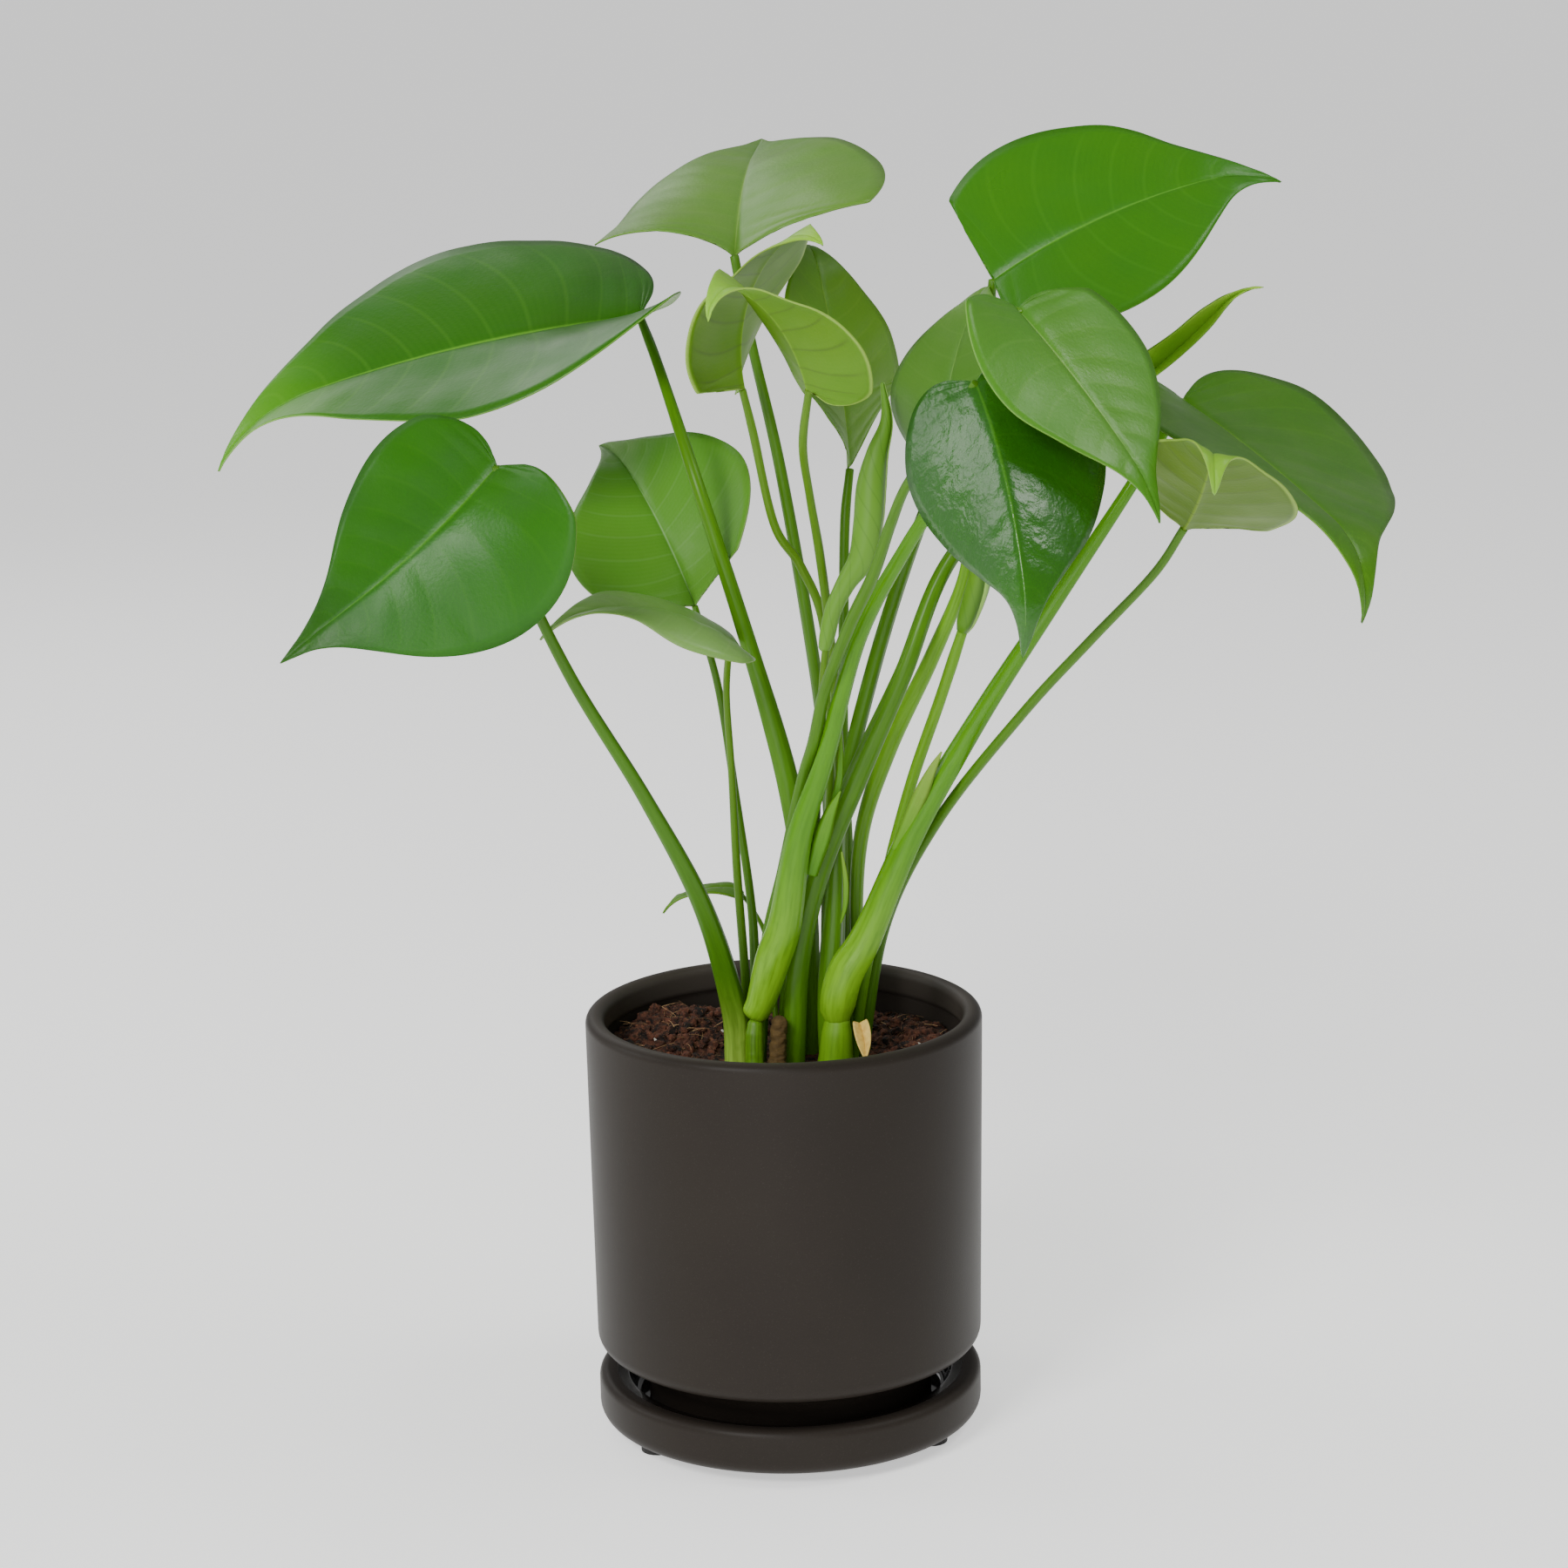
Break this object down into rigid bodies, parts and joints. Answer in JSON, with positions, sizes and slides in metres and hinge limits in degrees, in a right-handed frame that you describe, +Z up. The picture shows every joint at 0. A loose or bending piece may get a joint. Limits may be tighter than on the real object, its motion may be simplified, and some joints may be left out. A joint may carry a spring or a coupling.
{
  "type": "potted monstera plant",
  "caption": "Young heart-leaved monstera: glossy leaves on arching stalks in a matte cylinder pot that stands in a low round saucer.",
  "frame": {"origin": "centre of the footprint on the surface the saucer's pads stand on, on the pot's axis to within the frame tolerance", "axes": "+Z up along the pot's axis, -Y towards the side the plant is seen from, +X to that viewer's right"},
  "size_m": [0.3677, 0.2996, 0.4133],
  "materials": {
    "pot": "matte dark brown-black glaze",
    "saucer": "dark glaze, glossy inside and matte outside",
    "pad": "matte black pad",
    "soil": null,
    "leaf": null,
    "young_leaf": null,
    "stalk": null,
    "stem": null,
    "root": "brown bark-like root",
    "dried": "dry papery sheath"
  },
  "bodies": {
    "root": {"dried_sheath": "dried", "leaf_back_upright": "leaf", "leaf_behind_front": "leaf", "leaf_front_glossy": "leaf", "leaf_front_right": "leaf", "leaf_half_open": "leaf", "leaf_left_arched": "leaf", "leaf_left_large": "leaf", "leaf_left_low": "leaf", "leaf_left_upright": "leaf", "leaf_right_far": "leaf", "leaf_right_large": "leaf", "leaf_rolled_centre": "young_leaf", "leaf_rolled_right": "young_leaf", "leaf_seedling": "leaf", "leaf_top": "leaf", "leaf_young_centre": "young_leaf", "leaf_young_left": "young_leaf", "leaf_young_right": "young_leaf", "pad_back": "pad", "pad_left": "pad", "pad_right": "pad", "pot": "pot", "root_front": "root", "saucer": "saucer", "soil": "soil", "stalk_back_upright": "stalk", "stalk_behind_front": "stalk", "stalk_front_glossy": "stalk", "stalk_front_right": "stalk", "stalk_half_open": "stalk", "stalk_left_arched": "stalk", "stalk_left_large": "stalk", "stalk_left_low": "stalk", "stalk_left_upright": "stalk", "stalk_right_far": "stalk", "stalk_right_large": "stalk", "stalk_rolled_centre": "stalk", "stalk_rolled_right": "stalk", "stalk_seedling": "stalk", "stalk_top": "stalk", "stalk_young_centre": "stalk", "stalk_young_left": "stalk", "stalk_young_right": "stalk", "stem_back": "stem", "stem_front": "stem", "stem_right": "stem"}
  },
  "joints": []
}
